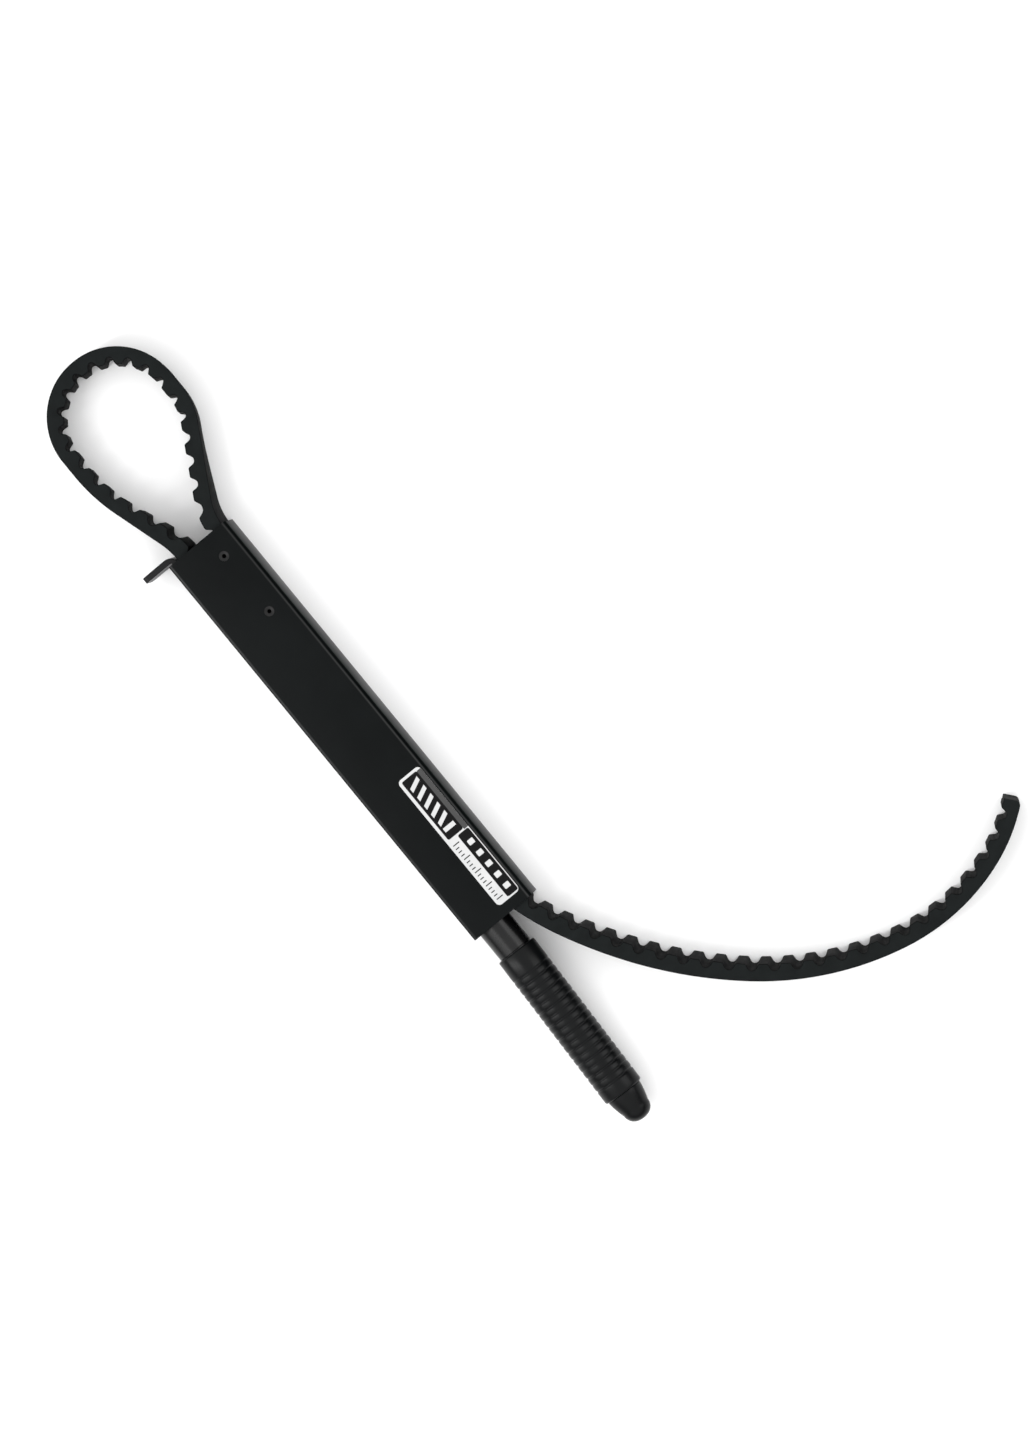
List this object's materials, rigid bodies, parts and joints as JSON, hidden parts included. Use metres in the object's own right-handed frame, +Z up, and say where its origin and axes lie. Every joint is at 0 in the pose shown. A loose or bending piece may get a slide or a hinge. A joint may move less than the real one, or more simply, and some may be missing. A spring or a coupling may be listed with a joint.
{
  "type": "strap wrench",
  "caption": "Strap wrench with a toothed rubber belt loop, a folded steel housing, a sliding release handle and a ribbed grip.",
  "frame": {"origin": "centre of the housing's underside, the flat face that the tool lies on", "axes": "+Y from the grip to the belt loop, +X to the side where the belt's free end leaves, +Z up out of the housing's face"},
  "size_m": [0.2765, 0.5051, 0.0272],
  "materials": {
    "black_powder_coat": "satin",
    "black_oxide_steel": "satin",
    "bright_steel": "satin",
    "rod_gloss_black": "gloss",
    "spring_steel": "satin",
    "zinc_screws": "satin",
    "bush_plastic": "matte",
    "belt_rubber": "matte",
    "grip_rubber": "matte",
    "label_print": "gloss"
  },
  "bodies": {
    "root": {"housing_channel": "black_powder_coat", "back_cover": "black_powder_coat", "anchor_pins": "black_oxide_steel", "belt_loop": "belt_rubber", "belt_run": "belt_rubber", "belt_tail": "belt_rubber", "toothed_anvil": "black_oxide_steel", "anvil_screws": "zinc_screws", "spring_bracket": "black_oxide_steel", "bracket_screws": "zinc_screws", "return_spring": "spring_steel", "rod_bush": "bush_plastic", "bush_screws": "zinc_screws", "guide_posts": "bright_steel", "post_screws": "zinc_screws", "label_plate": "label_print"},
    "slider": {"slide_bar": "black_oxide_steel", "bar_rivets": "bright_steel", "handle_rod": "rod_gloss_black", "retaining_ring": "spring_steel", "spring_washer": "bright_steel", "stop_sleeve": "bush_plastic", "grip_sleeve": "grip_rubber", "end_cap": "grip_rubber"}
  },
  "joints": [
    {"name": "handle_slide", "type": "slide", "parent": "root", "child": "slider", "axis": [0, 1, 0], "range_m": [0, 0.007], "stiffness_N_per_m": 900, "springref_m": -0.006, "deforming": ["return_spring"]}
  ]
}
